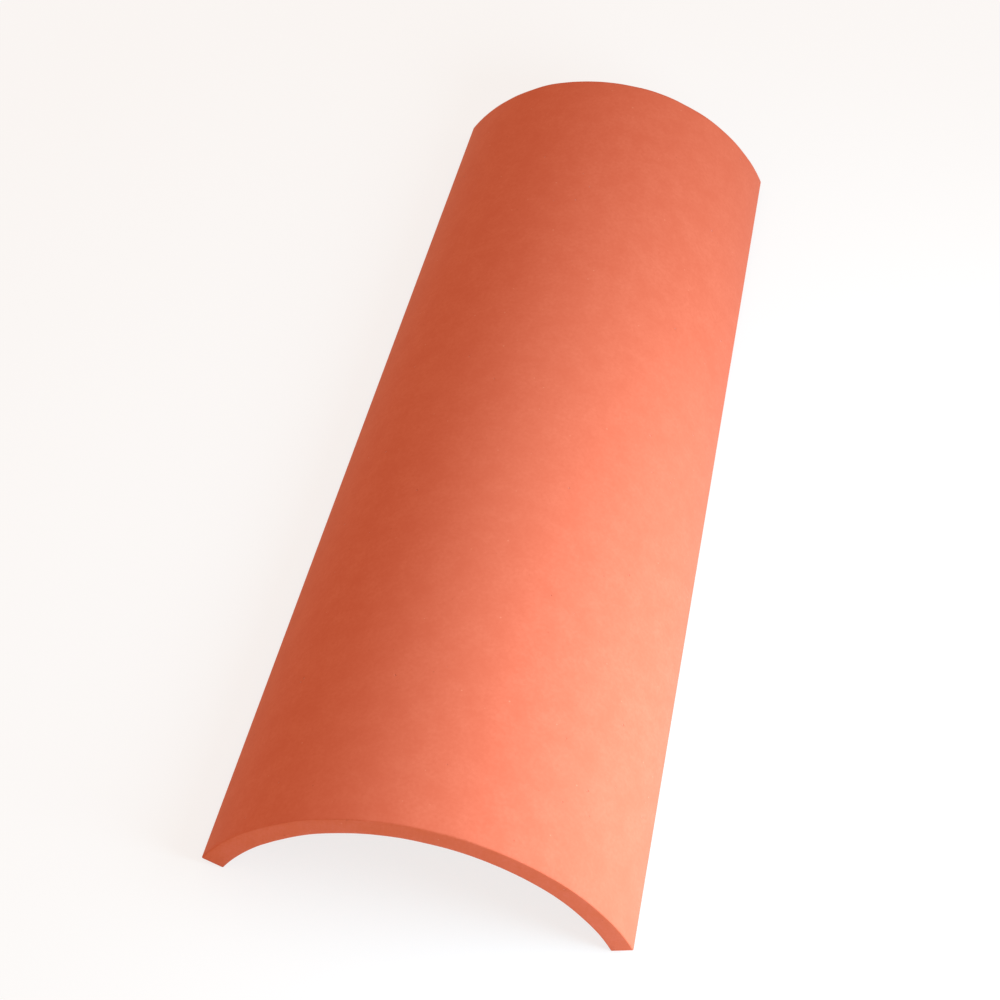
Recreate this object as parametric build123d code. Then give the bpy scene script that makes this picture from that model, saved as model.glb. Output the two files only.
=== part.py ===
from build123d import *
import math
import os

# Tapered barrel roof tile of fired clay, one piece, lying with its back up.
# The frame: X across the tile, Y along it from the wide tail to the narrow head,
# Z up from the floor that the inner arrises of the two long edges stand on.
# The origin is on the floor, under the middle of the tile's length and width.

# Driving dimensions, in millimetres and degrees
tile_length = 400.0  # between the two end faces
tail_width = 154.0  # over the outer arrises of the long edges, at the wide end
head_width = 132.0  # the same, at the narrow end
wall = 8.6  # thickness, square to the back
half_angle = 65.0  # from the crown to each long edge, round the barrel's axis
arris_radius = 0.5  # every arris is eased by wiping the wet clay
arris_share = 0.4  # the most of the wall's thickness that one arris takes

# The back is a cone, whose radius falls evenly from the tail to the head
sweep = math.radians(half_angle)
tail_radius = tail_width / (2 * math.sin(sweep))
head_radius = head_width / (2 * math.sin(sweep))
taper = math.atan2(tail_radius - head_radius, tile_length)

# The belly is the same cone, set in by the wall as a section square to the axis cuts it
radial_wall = wall / math.cos(taper)

# A thin wall keeps a flat strip between its two arrises
arris = min(arris_radius, arris_share * wall)

# The barrel's axis rises this much towards the head when the long edges lie level
tilt = math.degrees(math.atan(math.tan(taper) * math.cos(sweep)))


def wall_section():
    """The wall cut along the crown, with the barrel's axis on Y."""
    with BuildSketch(Plane.YZ) as section:
        with BuildLine():
            Polyline(
                (-tile_length / 2, tail_radius),
                (tile_length / 2, head_radius),
                (tile_length / 2, head_radius - radial_wall),
                (-tile_length / 2, tail_radius - radial_wall),
                close=True,
            )
        make_face()
    return section.sketch


def roof_tile():
    """The wall turned about the barrel's axis, its arrises eased, laid on its two long edges."""
    barrel = revolve(wall_section(), Axis.Y, 2 * half_angle)
    eased = fillet(barrel.edges(), arris)
    # The turn starts at the crown, so half of it is taken back
    lying = Rot(tilt, 0, 0) * Rot(0, -half_angle, 0) * eased
    box = lying.bounding_box()
    return Pos(0, -box.center().Y, -box.min.Z) * lying


os.makedirs("parts", exist_ok=True)
export_step(roof_tile(), "parts/roof_tile.step")
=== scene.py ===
import bpy
import math
from mathutils import Matrix, Vector


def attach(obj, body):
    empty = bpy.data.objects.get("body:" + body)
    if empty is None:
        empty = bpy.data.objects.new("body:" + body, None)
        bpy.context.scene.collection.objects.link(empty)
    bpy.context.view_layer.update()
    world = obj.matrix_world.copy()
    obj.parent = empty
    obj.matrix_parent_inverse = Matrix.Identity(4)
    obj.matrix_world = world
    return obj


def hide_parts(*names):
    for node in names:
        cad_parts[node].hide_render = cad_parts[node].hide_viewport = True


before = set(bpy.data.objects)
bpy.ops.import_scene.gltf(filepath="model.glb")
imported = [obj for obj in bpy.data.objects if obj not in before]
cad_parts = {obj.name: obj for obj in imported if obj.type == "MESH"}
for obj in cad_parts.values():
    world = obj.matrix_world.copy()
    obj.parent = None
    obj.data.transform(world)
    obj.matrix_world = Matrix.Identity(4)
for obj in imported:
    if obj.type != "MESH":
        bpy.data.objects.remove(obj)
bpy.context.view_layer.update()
print("packed tile loaded")


def linearFromHex(code):
    # sRGB hex to the linear colour that shaders and lamps take
    parts = [int(code[i:i + 2], 16) / 255 for i in (1, 3, 5)]
    return tuple(c / 12.92 if c <= 0.04045 else ((c + 0.055) / 1.055) ** 2.4 for c in parts) + (1.0,)


def addNode(tree, kind, settings=None, wires=None):
    # wires: input name or number, to a node (its first output), a socket or a plain value
    node = tree.nodes.new(kind)
    for name, value in (settings or {}).items():
        setattr(node, name, value)
    for slot, value in (wires or {}).items():
        if isinstance(value, bpy.types.Node):
            value = value.outputs[0]
        if isinstance(value, bpy.types.NodeSocket):
            tree.links.new(value, node.inputs[slot])
        else:
            node.inputs[slot].default_value = value
    return node


def seenShare(tree):
    # 1 where the camera sees a shader straight, through glass or in a gloss,
    # and 0 where the shader only gives light
    rays = addNode(tree, "ShaderNodeLightPath").outputs
    straight = addNode(tree, "ShaderNodeMath", {"operation": "MAXIMUM"}, {
        0: rays["Is Camera Ray"], 1: rays["Is Transmission Ray"]})
    return addNode(tree, "ShaderNodeMath", {"operation": "MAXIMUM"}, {0: straight, 1: rays["Is Glossy Ray"]})


# Fired clay: an orange-red earthenware body, pressed and wiped wet, then fired unglazed.
# It reads dead matt, with a fine sandy grain, a slow drift of colour from the kiln,
# soft wipe lines along the back and a rougher, torn skin where it was cut.
firedClay = {
    "body": "#CF6A4F",
    "redder": "#CE684D",  # where the kiln was hotter
    "paler": "#D37055",  # where sand lies at the surface
    "cut": "#D06B4A",  # the torn skin of the cut ends and edges, which was never wiped
    "grog": "#E9B596",  # flecks of ground fired clay
    "iron": "#8A3D28",  # specks of iron
    "driftSize": 0.11,  # metres, from one kiln tone to the next
    "driftFrom": 0.35,  # where on the noise the hotter tone starts, and where it is full
    "driftTo": 0.7,
    "mottleSize": 0.009,
    "grainSize": 0.0014,  # sand; the real grains are near 0.4 mm, too fine to show from a metre
    "grainDepth": 0.00002,
    "paleFrom": 0.14,  # where on mottle times sand the paler tone starts, and where it is full
    "paleTo": 0.4,
    "bellySand": 2.5,  # the mould's sand, as times the back's relief
    "cutSand": 2.5,  # and what the cut adds to it
    "fleckSpacing": 0.005,
    "fleckShare": 0.075,  # a fleck's radius, as a share of the spacing
    "fleckStrength": 0.22,
    "ironFrom": 0.6,  # of the flecks' own random numbers, so two in five are iron
    "speckEdge": (-0.02, 0.03),  # how softly flecks and pores end, as a share of the spacing
    "poreSpacing": 0.007,
    "poreShare": 0.055,
    "poreDepth": 0.00025,
    "wipeWidth": 0.0024,  # between the lines that the wiping sponge left
    "wipeLength": 0.16,
    "wipeDepth": 0.000012,
    "tearWidth": 0.0012,  # between the score lines on the cut faces
    "tearLength": 0.03,
    "tearDepth": 0.00009,
    "roughness": 0.82,
    "ior": 1.5,
    "shine": 0.03,  # of the usual half: the skin is porous, and little of it gleams
    "dust": 0.25,  # a dry bloom, which pales the clay where it is seen at a slant
    "dustSpread": 0.3,
}


def buildFiredClay(look):
    clay = bpy.data.materials.new("firedClay")
    clay.use_nodes = True
    tree = clay.node_tree
    tree.nodes.clear()
    place = addNode(tree, "ShaderNodeTexCoord").outputs["Object"]
    unrolled = addNode(tree, "ShaderNodeAttribute", {"attribute_name": "unrolled"}).outputs["Vector"]
    facing = addNode(tree, "ShaderNodeAttribute", {"attribute_name": "facing"}).outputs["Vector"]

    # 1 on the cut ends and long edges, 0 on the back and belly, easing over the arrises
    squarely, aslant = 0.9, 0.3
    side = addNode(tree, "ShaderNodeSeparateXYZ", {}, {0: facing}).outputs["Z"]
    skin = addNode(tree, "ShaderNodeMath", {"operation": "ABSOLUTE"}, {0: side})
    cutShare = addNode(tree, "ShaderNodeMapRange", {"interpolation_type": "SMOOTHSTEP"}, {
        "Value": skin, "From Min": squarely, "From Max": aslant})
    # 1 on the belly, which took its skin from the sanded mould
    bellyShare = addNode(tree, "ShaderNodeMapRange", {"interpolation_type": "SMOOTHSTEP"}, {
        "Value": side, "From Min": -aslant, "From Max": -squarely})

    # colour: slow kiln tones, then mottle, then sand
    drift = addNode(tree, "ShaderNodeTexNoise", {}, {
        "Vector": place, "Scale": 1 / look["driftSize"], "Detail": 2.0, "Distortion": 0.4})
    hotter = addNode(tree, "ShaderNodeMapRange", {}, {
        "Value": drift, "From Min": look["driftFrom"], "From Max": look["driftTo"]})
    kiln = addNode(tree, "ShaderNodeMix", {"data_type": "RGBA"}, {
        0: hotter, 6: linearFromHex(look["body"]), 7: linearFromHex(look["redder"])})
    cutTone = addNode(tree, "ShaderNodeMix", {"data_type": "RGBA"}, {
        0: cutShare, 6: kiln.outputs[2], 7: linearFromHex(look["cut"])})
    mottle = addNode(tree, "ShaderNodeTexNoise", {}, {
        "Vector": place, "Scale": 1 / look["mottleSize"], "Detail": 3.0, "Roughness": 0.55})
    sand = addNode(tree, "ShaderNodeTexNoise", {}, {
        "Vector": place, "Scale": 1 / look["grainSize"], "Detail": 3.0, "Roughness": 0.6})
    sanded = addNode(tree, "ShaderNodeMath", {"operation": "MULTIPLY"}, {0: mottle, 1: sand})
    paleShare = addNode(tree, "ShaderNodeMapRange", {}, {
        "Value": sanded, "From Min": look["paleFrom"], "From Max": look["paleTo"]})
    grained = addNode(tree, "ShaderNodeMix", {"data_type": "RGBA"}, {
        0: paleShare, 6: cutTone.outputs[2], 7: linearFromHex(look["paler"])})

    # flecks: one in each cell of a jittered grid, pale grog in some and dark iron in others
    softFrom, softTo = look["speckEdge"]
    fleck = addNode(tree, "ShaderNodeTexVoronoi", {}, {
        "Vector": place, "Scale": 1 / look["fleckSpacing"]}).outputs
    kinds = addNode(tree, "ShaderNodeSeparateColor", {}, {"Color": fleck["Color"]}).outputs
    reach = addNode(tree, "ShaderNodeMath", {"operation": "MULTIPLY"}, {
        0: kinds["Green"], 1: look["fleckShare"]})
    within = addNode(tree, "ShaderNodeMath", {"operation": "SUBTRACT"}, {0: reach, 1: fleck["Distance"]})
    flecked = addNode(tree, "ShaderNodeMapRange", {"interpolation_type": "SMOOTHSTEP"}, {
        "Value": within, "From Min": softFrom, "From Max": softTo, "To Max": look["fleckStrength"]})
    isIron = addNode(tree, "ShaderNodeMath", {"operation": "GREATER_THAN"}, {
        0: kinds["Red"], 1: look["ironFrom"]})
    fleckTone = addNode(tree, "ShaderNodeMix", {"data_type": "RGBA"}, {
        0: isIron, 6: linearFromHex(look["grog"]), 7: linearFromHex(look["iron"])})
    clayTone = addNode(tree, "ShaderNodeMix", {"data_type": "RGBA"}, {
        0: flecked, 6: grained.outputs[2], 7: fleckTone.outputs[2]})

    # relief, as heights in metres: sand, wipe lines, the tears of the cut faces, pores
    rough = addNode(tree, "ShaderNodeMapRange", {}, {
        "Value": bellyShare, "To Min": 1.0, "To Max": look["bellySand"]})
    rougher = addNode(tree, "ShaderNodeMath", {"operation": "MULTIPLY_ADD"}, {
        0: cutShare, 1: look["cutSand"], 2: rough})
    sandDepth = addNode(tree, "ShaderNodeMath", {"operation": "MULTIPLY"}, {0: rougher, 1: look["grainDepth"]})
    sandRelief = addNode(tree, "ShaderNodeMath", {"operation": "MULTIPLY"}, {0: sand, 1: sandDepth})

    alongWipe = addNode(tree, "ShaderNodeVectorMath", {"operation": "DIVIDE"}, {
        0: unrolled, 1: (look["wipeWidth"], look["wipeLength"], look["wipeWidth"])})
    wipe = addNode(tree, "ShaderNodeTexNoise", {}, {"Vector": alongWipe, "Scale": 1.0, "Detail": 3.0})
    wiped = addNode(tree, "ShaderNodeMath", {"operation": "MULTIPLY_ADD"}, {
        0: wipe, 1: look["wipeDepth"], 2: sandRelief})

    downTear = addNode(tree, "ShaderNodeVectorMath", {"operation": "DIVIDE"}, {
        0: place, 1: (look["tearWidth"], look["tearLength"], look["tearLength"])})
    tear = addNode(tree, "ShaderNodeTexNoise", {}, {"Vector": downTear, "Scale": 1.0, "Detail": 4.0})
    tearDepth = addNode(tree, "ShaderNodeMath", {"operation": "MULTIPLY"}, {0: cutShare, 1: look["tearDepth"]})
    torn = addNode(tree, "ShaderNodeMath", {"operation": "MULTIPLY_ADD"}, {0: tear, 1: tearDepth, 2: wiped})

    pore = addNode(tree, "ShaderNodeTexVoronoi", {}, {
        "Vector": place, "Scale": 1 / look["poreSpacing"]}).outputs
    poreKinds = addNode(tree, "ShaderNodeSeparateColor", {}, {"Color": pore["Color"]}).outputs
    poreReach = addNode(tree, "ShaderNodeMath", {"operation": "MULTIPLY"}, {
        0: poreKinds["Blue"], 1: look["poreShare"]})
    poreEdge = addNode(tree, "ShaderNodeMath", {"operation": "SUBTRACT"}, {0: poreReach, 1: pore["Distance"]})
    hollow = addNode(tree, "ShaderNodeMapRange", {"interpolation_type": "SMOOTHSTEP"}, {
        "Value": poreEdge, "From Min": softFrom, "From Max": softTo, "To Max": -look["poreDepth"]})
    height = addNode(tree, "ShaderNodeMath", {"operation": "ADD"}, {0: torn, 1: hollow})
    relief = addNode(tree, "ShaderNodeBump", {}, {"Height": height, "Distance": 1.0, "Strength": 1.0})

    surface = addNode(tree, "ShaderNodeBsdfPrincipled", {}, {
        "Base Color": clayTone.outputs[2], "Roughness": look["roughness"], "IOR": look["ior"],
        "Specular IOR Level": look["shine"], "Sheen Weight": look["dust"],
        "Sheen Roughness": look["dustSpread"], "Normal": relief})
    addNode(tree, "ShaderNodeOutputMaterial", {}, {"Surface": surface})
    return clay


# The barrel: a tapered half-round channel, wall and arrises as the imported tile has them
barrel = {
    "length": 0.400,  # between the end faces, along the barrel's axis
    "tailWidth": 0.154,  # over the long edges at the wide end
    "headWidth": 0.132,
    "wall": 0.0086,
    "halfAngle": math.radians(65),
    "arris": 0.0005,
    "cellsAround": 150,
    "cellsAlong": 264,
    "cellsThrough": 10,
    "arrisCells": 3,
    # the maker's hand, all of it cut into the clay so that the tile keeps its size
    "swaySize": 0.12,  # slow unevenness of the whole wall
    "swayDepth": 0.00025,
    "wipeWidth": 0.007,  # broad strokes of wiping, along the tile
    "wipeLength": 0.2,
    "wipeDepth": 0.00006,
    "tearWidth": 0.004,  # steps that the cutting wire left on the ends and edges
    "tearDepth": 0.00012,
    "nickSize": 0.013,  # dents and soft spots along the arrises
    "nickDepth": 0.00014,
    "pullSize": 0.022,  # where the wall was dragged down beside the cut ends
    "pullReach": 0.012,
    "pullDepth": 0.0003,
    "seed": 7.0,
}

barrelInputs = {
    "Length": "NodeSocketFloat",
    "Tail radius": "NodeSocketFloat",
    "Head radius": "NodeSocketFloat",
    "Radial wall": "NodeSocketFloat",
    "Half angle": "NodeSocketFloat",
    "Arris": "NodeSocketFloat",
    "Cells around": "NodeSocketInt",
    "Cells along": "NodeSocketInt",
    "Cells through": "NodeSocketInt",
    "Arris cells": "NodeSocketInt",
    "Tilt": "NodeSocketVector",
    "Lift": "NodeSocketVector",
    "Sway size": "NodeSocketFloat",
    "Sway depth": "NodeSocketFloat",
    "Wipe size": "NodeSocketVector",
    "Wipe depth": "NodeSocketFloat",
    "Tear width": "NodeSocketFloat",
    "Tear depth": "NodeSocketFloat",
    "Nick size": "NodeSocketFloat",
    "Nick depth": "NodeSocketFloat",
    "Pull size": "NodeSocketFloat",
    "Pull reach": "NodeSocketFloat",
    "Pull depth": "NodeSocketFloat",
    "Seed": "NodeSocketFloat",
}


def buildBarrelTree(clay):
    tree = bpy.data.node_groups.new("tileBarrel", "GeometryNodeTree")
    for name, kind in barrelInputs.items():
        tree.interface.new_socket(name=name, in_out="INPUT", socket_type=kind)
    tree.interface.new_socket(name="Tile", in_out="OUTPUT", socket_type="NodeSocketGeometry")
    given = addNode(tree, "NodeGroupInput").outputs

    # a block of cells, from -1 to 1 each way, that is eased and then bent into the barrel
    corners = [
        addNode(tree, "ShaderNodeMath", {"operation": "ADD"}, {0: given[name], 1: 1.0})
        for name in ("Cells around", "Cells along", "Cells through")
    ]
    block = addNode(tree, "GeometryNodeMeshCube", {}, {
        "Size": (2.0, 2.0, 2.0), "Vertices X": corners[0], "Vertices Y": corners[1], "Vertices Z": corners[2]})
    spot = addNode(tree, "GeometryNodeInputPosition")

    # the share of each side that its two arrises take, and the flat core between them
    cells = addNode(tree, "ShaderNodeCombineXYZ", {}, {
        0: given["Cells around"], 1: given["Cells along"], 2: given["Cells through"]})
    twice = addNode(tree, "ShaderNodeMath", {"operation": "MULTIPLY"}, {0: given["Arris cells"], 1: 2.0})
    easedCells = addNode(tree, "ShaderNodeCombineXYZ", {}, {0: twice, 1: twice, 2: twice})
    easedShare = addNode(tree, "ShaderNodeVectorMath", {"operation": "DIVIDE"}, {0: easedCells, 1: cells})
    coreShare = addNode(tree, "ShaderNodeVectorMath", {"operation": "SUBTRACT"}, {
        0: (1.0, 1.0, 1.0), 1: easedShare})
    stretched = addNode(tree, "ShaderNodeVectorMath", {"operation": "DIVIDE"}, {0: spot, 1: coreShare})
    capped = addNode(tree, "ShaderNodeVectorMath", {"operation": "MINIMUM"}, {0: stretched, 1: (1.0, 1.0, 1.0)})
    core = addNode(tree, "ShaderNodeVectorMath", {"operation": "MAXIMUM"}, {0: capped, 1: (-1.0, -1.0, -1.0)})
    coreSpot = addNode(tree, "ShaderNodeVectorMath", {"operation": "MULTIPLY"}, {0: core, 1: coreShare})
    past = addNode(tree, "ShaderNodeVectorMath", {"operation": "SUBTRACT"}, {0: spot, 1: coreSpot})
    pastShare = addNode(tree, "ShaderNodeVectorMath", {"operation": "DIVIDE"}, {0: past, 1: easedShare})
    facing = addNode(tree, "ShaderNodeVectorMath", {"operation": "NORMALIZE"}, {0: pastShare})
    coreXyz = addNode(tree, "ShaderNodeSeparateXYZ", {}, {0: core}).outputs
    facingXyz = addNode(tree, "ShaderNodeSeparateXYZ", {}, {0: facing}).outputs

    # along the tile: half the length less the arris, plus what the arris gives back
    halfLength = addNode(tree, "ShaderNodeMath", {"operation": "MULTIPLY"}, {0: given["Length"], 1: 0.5})
    coreLength = addNode(tree, "ShaderNodeMath", {"operation": "SUBTRACT"}, {0: halfLength, 1: given["Arris"]})
    easedAlong = addNode(tree, "ShaderNodeMath", {"operation": "MULTIPLY"}, {
        0: facingXyz[1], 1: given["Arris"]})
    along = addNode(tree, "ShaderNodeMath", {"operation": "MULTIPLY_ADD"}, {
        0: coreXyz[1], 1: coreLength, 2: easedAlong})

    # through the wall, the same way
    halfWall = addNode(tree, "ShaderNodeMath", {"operation": "MULTIPLY"}, {0: given["Radial wall"], 1: 0.5})
    coreWall = addNode(tree, "ShaderNodeMath", {"operation": "SUBTRACT"}, {0: halfWall, 1: given["Arris"]})
    easedThrough = addNode(tree, "ShaderNodeMath", {"operation": "MULTIPLY"}, {
        0: facingXyz[2], 1: given["Arris"]})
    through = addNode(tree, "ShaderNodeMath", {"operation": "MULTIPLY_ADD"}, {
        0: coreXyz[2], 1: coreWall, 2: easedThrough})

    # the cone's radius falls evenly from the tail to the head
    tailEnd = addNode(tree, "ShaderNodeMath", {"operation": "MULTIPLY"}, {0: halfLength, 1: -1.0})
    backRadius = addNode(tree, "ShaderNodeMapRange", {"clamp": False}, {
        "Value": along, "From Min": tailEnd, "From Max": halfLength,
        "To Min": given["Tail radius"], "To Max": given["Head radius"]})
    midRadius = addNode(tree, "ShaderNodeMath", {"operation": "SUBTRACT"}, {0: backRadius, 1: halfWall})
    radius = addNode(tree, "ShaderNodeMath", {"operation": "ADD"}, {0: midRadius, 1: through})

    # round the axis, with the long edges' arrises as an angle at this radius
    arrisAngle = addNode(tree, "ShaderNodeMath", {"operation": "DIVIDE"}, {0: given["Arris"], 1: radius})
    coreAngle = addNode(tree, "ShaderNodeMath", {"operation": "SUBTRACT"}, {
        0: given["Half angle"], 1: arrisAngle})
    easedAngle = addNode(tree, "ShaderNodeMath", {"operation": "MULTIPLY"}, {0: facingXyz[0], 1: arrisAngle})
    angle = addNode(tree, "ShaderNodeMath", {"operation": "MULTIPLY_ADD"}, {
        0: coreXyz[0], 1: coreAngle, 2: easedAngle})
    sine = addNode(tree, "ShaderNodeMath", {"operation": "SINE"}, {0: angle})
    cosine = addNode(tree, "ShaderNodeMath", {"operation": "COSINE"}, {0: angle})
    across = addNode(tree, "ShaderNodeMath", {"operation": "MULTIPLY"}, {0: radius, 1: sine})
    up = addNode(tree, "ShaderNodeMath", {"operation": "MULTIPLY"}, {0: radius, 1: cosine})
    bent = addNode(tree, "ShaderNodeCombineXYZ", {}, {0: across, 1: along, 2: up})

    # the clay's own coordinates: round the barrel, along it and through the wall, in metres
    arc = addNode(tree, "ShaderNodeMath", {"operation": "MULTIPLY"}, {0: angle, 1: given["Head radius"]})
    unrolled = addNode(tree, "ShaderNodeCombineXYZ", {}, {0: arc, 1: along, 2: through})
    mapped = addNode(tree, "GeometryNodeStoreNamedAttribute", {
        "data_type": "FLOAT_VECTOR", "domain": "POINT"}, {
        "Geometry": block, "Name": "unrolled", "Value": unrolled})
    turned = addNode(tree, "GeometryNodeStoreNamedAttribute", {
        "data_type": "FLOAT_VECTOR", "domain": "POINT"}, {
        "Geometry": mapped, "Name": "facing", "Value": facing})
    formed = addNode(tree, "GeometryNodeSetPosition", {}, {"Geometry": turned, "Position": bent})

    # from here on the clay's own coordinates are read back, because every point has moved
    clayPlace = addNode(tree, "GeometryNodeInputNamedAttribute", {"data_type": "FLOAT_VECTOR"}, {
        "Name": "unrolled"})
    clayFacing = addNode(tree, "GeometryNodeInputNamedAttribute", {"data_type": "FLOAT_VECTOR"}, {
        "Name": "facing"})
    outward = addNode(tree, "GeometryNodeInputNormal")
    moved = addNode(tree, "GeometryNodeInputPosition")
    toSides = addNode(tree, "ShaderNodeVectorMath", {"operation": "ABSOLUTE"}, {0: clayFacing})
    sides = addNode(tree, "ShaderNodeSeparateXYZ", {}, {0: toSides}).outputs

    # sway: back and belly bend in together, and not at the long edges, which stand on the floor
    flat = addNode(tree, "ShaderNodeVectorMath", {"operation": "MULTIPLY"}, {0: clayPlace, 1: (1.0, 1.0, 0.0)})
    sway = addNode(tree, "ShaderNodeTexNoise", {"noise_dimensions": "4D"}, {
        "Vector": flat, "W": given["Seed"], "Detail": 1.0,
        "Scale": addNode(tree, "ShaderNodeMath", {"operation": "DIVIDE"}, {0: 1.0, 1: given["Sway size"]})})
    fromCrown = addNode(tree, "ShaderNodeMath", {"operation": "ABSOLUTE"}, {
        0: addNode(tree, "ShaderNodeSeparateXYZ", {}, {0: clayPlace}).outputs["X"]})
    edgeArc = addNode(tree, "ShaderNodeMath", {"operation": "MULTIPLY"}, {
        0: given["Half angle"], 1: given["Head radius"]})
    steadyShare = 0.7  # of the way from the crown to a long edge, where sway and sag keep their depth
    edgeStart = addNode(tree, "ShaderNodeMath", {"operation": "MULTIPLY"}, {0: edgeArc, 1: steadyShare})
    swayFade = addNode(tree, "ShaderNodeMapRange", {"interpolation_type": "SMOOTHSTEP"}, {
        "Value": fromCrown, "From Min": edgeStart, "From Max": edgeArc,
        "To Min": given["Sway depth"], "To Max": 0.0})
    swayIn = addNode(tree, "ShaderNodeMath", {"operation": "MULTIPLY"}, {0: sway, 1: swayFade})

    # pull: beside the cut ends the whole wall sags a little here and there, so the end arrises wander
    fromMiddle = addNode(tree, "ShaderNodeMath", {"operation": "ABSOLUTE"}, {
        0: addNode(tree, "ShaderNodeSeparateXYZ", {}, {0: clayPlace}).outputs["Y"]})
    pullStart = addNode(tree, "ShaderNodeMath", {"operation": "SUBTRACT"}, {
        0: halfLength, 1: given["Pull reach"]})
    pullAlong = addNode(tree, "ShaderNodeMapRange", {"interpolation_type": "SMOOTHSTEP"}, {
        "Value": fromMiddle, "From Min": pullStart, "From Max": halfLength,
        "To Min": 0.0, "To Max": given["Pull depth"]})
    pullFade = addNode(tree, "ShaderNodeMapRange", {"interpolation_type": "SMOOTHSTEP"}, {
        "Value": fromCrown, "From Min": edgeStart, "From Max": edgeArc, "To Min": pullAlong, "To Max": 0.0})
    pull = addNode(tree, "ShaderNodeTexNoise", {"noise_dimensions": "4D"}, {
        "Vector": flat, "W": given["Seed"], "Detail": 1.0,
        "Scale": addNode(tree, "ShaderNodeMath", {"operation": "DIVIDE"}, {0: 1.0, 1: given["Pull size"]})})
    pullFrom, pullTo = 0.35, 0.65  # where on the noise a sag starts, and where it is full
    somePull = addNode(tree, "ShaderNodeMapRange", {"interpolation_type": "SMOOTHSTEP"}, {
        "Value": pull, "From Min": pullFrom, "From Max": pullTo})
    sagIn = addNode(tree, "ShaderNodeMath", {"operation": "MULTIPLY_ADD"}, {
        0: somePull, 1: pullFade, 2: swayIn})
    fromAxis = addNode(tree, "ShaderNodeVectorMath", {"operation": "NORMALIZE"}, {
        0: addNode(tree, "ShaderNodeVectorMath", {"operation": "MULTIPLY"}, {0: moved, 1: (-1.0, 0.0, -1.0)})})
    swayed = addNode(tree, "ShaderNodeVectorMath", {"operation": "SCALE"}, {0: fromAxis, "Scale": sagIn})

    # wipe strokes on the back and belly
    strokes = addNode(tree, "ShaderNodeVectorMath", {"operation": "DIVIDE"}, {
        0: clayPlace, 1: given["Wipe size"]})
    wipe = addNode(tree, "ShaderNodeTexNoise", {"noise_dimensions": "4D"}, {
        "Vector": strokes, "W": given["Seed"], "Scale": 1.0, "Detail": 2.0})
    wipeDepth = addNode(tree, "ShaderNodeMath", {"operation": "MULTIPLY"}, {
        0: sides["Z"], 1: given["Wipe depth"]})
    wiped = addNode(tree, "ShaderNodeMath", {"operation": "MULTIPLY"}, {0: wipe, 1: wipeDepth})

    # tears on the ends and the long edges
    tear = addNode(tree, "ShaderNodeTexNoise", {"noise_dimensions": "4D"}, {
        "Vector": clayPlace, "W": given["Seed"], "Detail": 3.0,
        "Scale": addNode(tree, "ShaderNodeMath", {"operation": "DIVIDE"}, {0: 1.0, 1: given["Tear width"]})})
    cutSide = addNode(tree, "ShaderNodeMath", {"operation": "MAXIMUM"}, {0: sides["X"], 1: sides["Y"]})
    tearDepth = addNode(tree, "ShaderNodeMath", {"operation": "MULTIPLY"}, {0: cutSide, 1: given["Tear depth"]})
    torn = addNode(tree, "ShaderNodeMath", {"operation": "MULTIPLY_ADD"}, {0: tear, 1: tearDepth, 2: wiped})

    # nicks: where a point faces two ways at once it is on an arris
    widest = addNode(tree, "ShaderNodeMath", {"operation": "MAXIMUM"}, {0: cutSide, 1: sides["Z"]})
    oneWay, twoWays = 1.0, 0.72  # the larger share of the facing: on a face, and midway round an arris
    onArris = addNode(tree, "ShaderNodeMapRange", {"interpolation_type": "SMOOTHSTEP"}, {
        "Value": widest, "From Min": oneWay, "From Max": twoWays})
    nick = addNode(tree, "ShaderNodeTexNoise", {"noise_dimensions": "4D"}, {
        "Vector": clayPlace, "W": given["Seed"], "Detail": 2.0,
        "Scale": addNode(tree, "ShaderNodeMath", {"operation": "DIVIDE"}, {0: 1.0, 1: given["Nick size"]})})
    nickFrom, nickTo = 0.45, 0.75  # where on the noise a dent starts, and where it is full
    someNicks = addNode(tree, "ShaderNodeMapRange", {"interpolation_type": "SMOOTHSTEP"}, {
        "Value": nick, "From Min": nickFrom, "From Max": nickTo, "To Max": given["Nick depth"]})
    nicked = addNode(tree, "ShaderNodeMath", {"operation": "MULTIPLY_ADD"}, {0: someNicks, 1: onArris, 2: torn})
    inward = addNode(tree, "ShaderNodeMath", {"operation": "MULTIPLY"}, {0: nicked, 1: -1.0})
    cutIn = addNode(tree, "ShaderNodeVectorMath", {"operation": "SCALE"}, {0: outward, "Scale": inward})
    worn = addNode(tree, "ShaderNodeVectorMath", {"operation": "ADD"}, {0: swayed, 1: cutIn})
    handled = addNode(tree, "GeometryNodeSetPosition", {}, {"Geometry": formed, "Offset": worn})

    laid = addNode(tree, "GeometryNodeTransform", {}, {
        "Geometry": handled, "Translation": given["Lift"], "Rotation": given["Tilt"]})
    smooth = addNode(tree, "GeometryNodeSetShadeSmooth", {}, {"Geometry": laid, "Shade Smooth": True})
    real = addNode(tree, "GeometryNodeRealizeInstances", {}, {"Geometry": smooth})
    fired = addNode(tree, "GeometryNodeSetMaterial", {}, {"Geometry": real, "Material": clay})
    addNode(tree, "NodeGroupOutput", {}, {"Tile": fired})
    return tree


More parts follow.
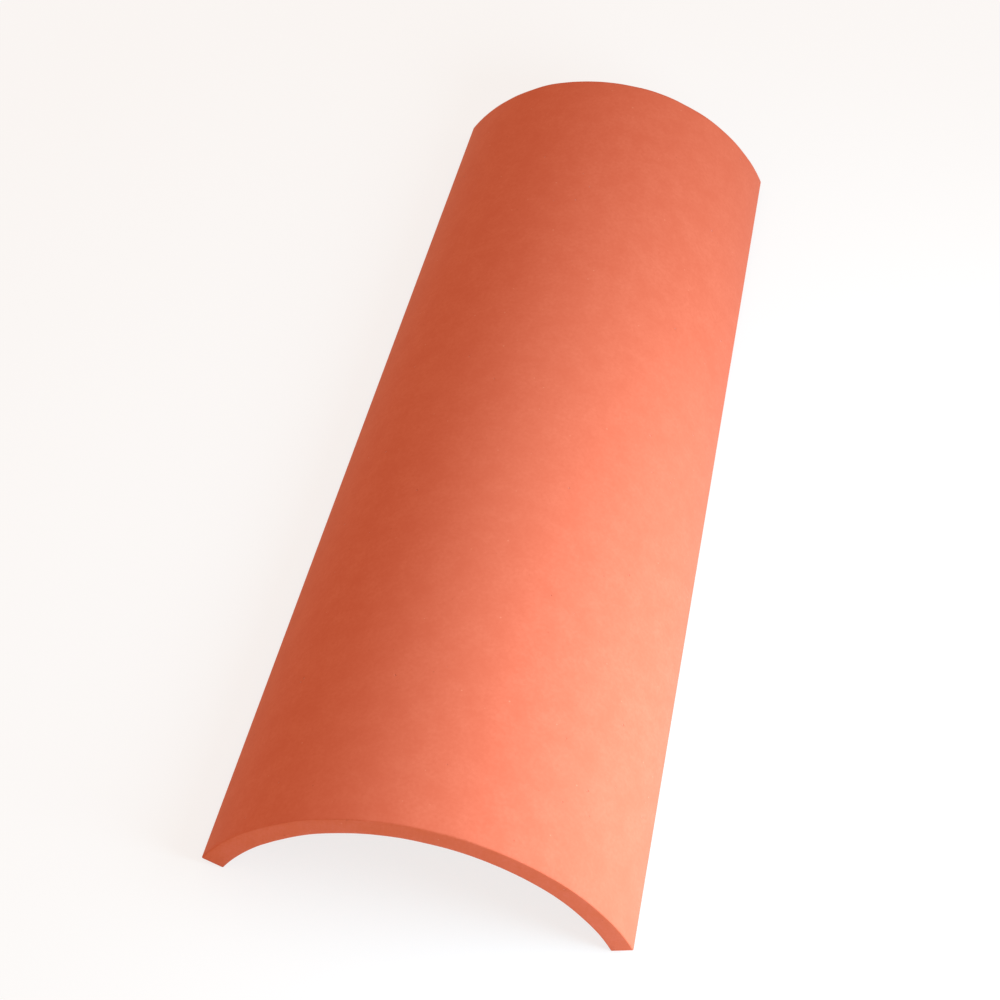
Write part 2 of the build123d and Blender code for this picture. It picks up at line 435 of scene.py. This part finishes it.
def formTile(size, clay):
    sine, cosine = math.sin(size["halfAngle"]), math.cos(size["halfAngle"])
    tailRadius, headRadius = size["tailWidth"] / 2 / sine, size["headWidth"] / 2 / sine
    taper = math.atan2(tailRadius - headRadius, size["length"])
    radialWall = size["wall"] / math.cos(taper)
    # the axis rises towards the head once the long edges lie level
    tilt = math.atan(math.tan(taper) * cosine)

    # the inner arris of a long edge, at the tail, is what stands on the floor
    bellyRadius, arris = tailRadius - radialWall, size["arris"]
    footHeight = math.sqrt((bellyRadius + arris) ** 2 - arris ** 2) * cosine + arris * (sine - 1)
    floorHeight = footHeight * math.cos(tilt) - size["length"] / 2 * math.sin(tilt)
    slide = math.sin(tilt) * (tailRadius + (headRadius - radialWall) * cosine) / 2

    values = {
        "Length": size["length"],
        "Tail radius": tailRadius,
        "Head radius": headRadius,
        "Radial wall": radialWall,
        "Half angle": size["halfAngle"],
        "Arris": arris,
        "Cells around": size["cellsAround"],
        "Cells along": size["cellsAlong"],
        "Cells through": size["cellsThrough"],
        "Arris cells": size["arrisCells"],
        "Tilt": (tilt, 0.0, 0.0),
        "Lift": (0.0, slide, -floorHeight),
        "Sway size": size["swaySize"],
        "Sway depth": size["swayDepth"],
        "Wipe size": (size["wipeWidth"], size["wipeLength"], size["wipeWidth"]),
        "Wipe depth": size["wipeDepth"],
        "Tear width": size["tearWidth"],
        "Tear depth": size["tearDepth"],
        "Nick size": size["nickSize"],
        "Nick depth": size["nickDepth"],
        "Pull size": size["pullSize"],
        "Pull reach": size["pullReach"],
        "Pull depth": size["pullDepth"],
        "Seed": size["seed"],
    }
    tree = buildBarrelTree(clay)
    maker = bpy.data.objects.new("tileMaker", bpy.data.meshes.new("tileMaker"))
    bpy.context.collection.objects.link(maker)
    nodes = maker.modifiers.new("barrel", "NODES")
    nodes.node_group = tree
    for socket in tree.interface.items_tree:
        if socket.in_out == "INPUT":
            nodes[socket.identifier] = values[socket.name]

    shaped = maker.evaluated_get(bpy.context.evaluated_depsgraph_get())
    mesh = bpy.data.meshes.new_from_object(shaped)
    maker.modifiers.clear()
    bpy.data.objects.remove(maker)
    mesh.name = "barrelTile"
    tile = bpy.data.objects.new("barrelTile", mesh)
    bpy.context.collection.objects.link(tile)
    return tile


clay = buildFiredClay(firedClay)
tile = formTile(barrel, clay)
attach(tile, "root")
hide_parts("roof_tile")
print("tile formed:", len(tile.data.polygons), "faces")


# A plain pale floor that reads white to the camera and keeps the tile's soft shadow
paleFloor = {
    "halfSize": 4.0,
    "colour": "#F2F1EF",
    "whitening": 0.78,  # how much of what the camera sees beside the tile is plain white
    "plainFrom": 0.28,  # metres out, where the last of the shading starts to fade
    "plainTo": 0.8,  # from here on only white is seen, and the floor meets the room unseen
}


def layFloor(look):
    paint = bpy.data.materials.new("paleFloor")
    paint.use_nodes = True
    tree = paint.node_tree
    tree.nodes.clear()
    matt = addNode(tree, "ShaderNodeBsdfDiffuse", {}, {"Color": linearFromHex(look["colour"])})
    white = addNode(tree, "ShaderNodeEmission", {}, {"Color": (1.0, 1.0, 1.0, 1.0), "Strength": 1.0})
    place = addNode(tree, "ShaderNodeTexCoord").outputs["Object"]
    away = addNode(tree, "ShaderNodeVectorMath", {"operation": "LENGTH"}, {0: place}).outputs["Value"]
    whitened = addNode(tree, "ShaderNodeMapRange", {"interpolation_type": "SMOOTHSTEP"}, {
        "Value": away, "From Min": look["plainFrom"], "From Max": look["plainTo"],
        "To Min": look["whitening"], "To Max": 1.0})
    share = addNode(tree, "ShaderNodeMath", {"operation": "MULTIPLY"}, {0: seenShare(tree), 1: whitened})
    mixed = addNode(tree, "ShaderNodeMixShader", {}, {0: share, 1: matt, 2: white})
    addNode(tree, "ShaderNodeOutputMaterial", {}, {"Surface": mixed})
    half = look["halfSize"]
    mesh = bpy.data.meshes.new("paleFloor")
    mesh.from_pydata(
        [(-half, -half, 0), (half, -half, 0), (half, half, 0), (-half, half, 0)], [], [(0, 1, 2, 3)])
    mesh.materials.append(paint)
    floor = bpy.data.objects.new("paleFloor", mesh)
    bpy.context.collection.objects.link(floor)


layFloor(paleFloor)

lamps = {
    "window": {  # a soft daylight source, low and close on the tail's right
        "place": (0.32, -0.16, 0.22),
        "aim": (0.0, -0.05, 0.03),
        "size": 0.3,
        "watts": 3.4,
        "colour": "#BFE7FF",
    },
}


def hangLamp(name, look):
    light = bpy.data.lights.new(name, "AREA")
    light.shape = "DISK"
    light.size = look["size"]
    light.energy = look["watts"]
    light.color = linearFromHex(look["colour"])[:3]
    lamp = bpy.data.objects.new(name, light)
    lamp.location = look["place"]
    lamp.rotation_euler = (Vector(look["aim"]) - Vector(look["place"])).to_track_quat("-Z", "Y").to_euler()
    lamp.visible_camera = False
    bpy.context.collection.objects.link(lamp)


for name, look in lamps.items():
    hangLamp(name, look)

# The room fills the rest with a warmer, even light, and is plain white where it is seen
room = {"colour": "#FFD6B6", "strength": 0.8}
world = bpy.data.worlds.new("studio")
bpy.context.scene.world = world
world.use_nodes = True
world.node_tree.nodes.clear()
dim = addNode(world.node_tree, "ShaderNodeBackground", {}, {
    "Color": linearFromHex(room["colour"]), "Strength": room["strength"]})
white = addNode(world.node_tree, "ShaderNodeBackground", {}, {"Color": (1.0, 1.0, 1.0, 1.0), "Strength": 1.0})
shown = addNode(world.node_tree, "ShaderNodeMixShader", {}, {0: seenShare(world.node_tree), 1: dim, 2: white})
addNode(world.node_tree, "ShaderNodeOutputWorld", {}, {"Surface": shown})
print("floor, lamps and room set")

# The camera stands a metre off, near the tail and high, a little to the right, and leans slightly
shot = {
    "target": (-0.00965, -0.00938, 0.0),
    "distance": 0.9916,
    "azimuth": 7.6,
    "elevation": 49.53,
    "lean": -5.5,
    "lens": 89.93,  # millimetres, on a 36 mm frame
}


def setCamera(look):
    turn, rise, lean = (math.radians(look[name]) for name in ("azimuth", "elevation", "lean"))
    back = Vector((math.sin(turn) * math.cos(rise), -math.cos(turn) * math.cos(rise), math.sin(rise)))
    level = Vector((math.cos(turn), math.sin(turn), 0.0))
    upright = back.cross(level)
    right = level * math.cos(lean) - upright * math.sin(lean)
    top = level * math.sin(lean) + upright * math.cos(lean)
    data = bpy.data.cameras.new("camera")
    data.sensor_width = 36.0
    data.lens = look["lens"]
    camera = bpy.data.objects.new("camera", data)
    stand = Matrix((right, top, back)).transposed().to_4x4()
    stand.translation = Vector(look["target"]) + back * look["distance"]
    camera.matrix_world = stand
    bpy.context.collection.objects.link(camera)
    bpy.context.scene.camera = camera


setCamera(shot)
bpy.context.scene.view_settings.view_transform = "Standard"
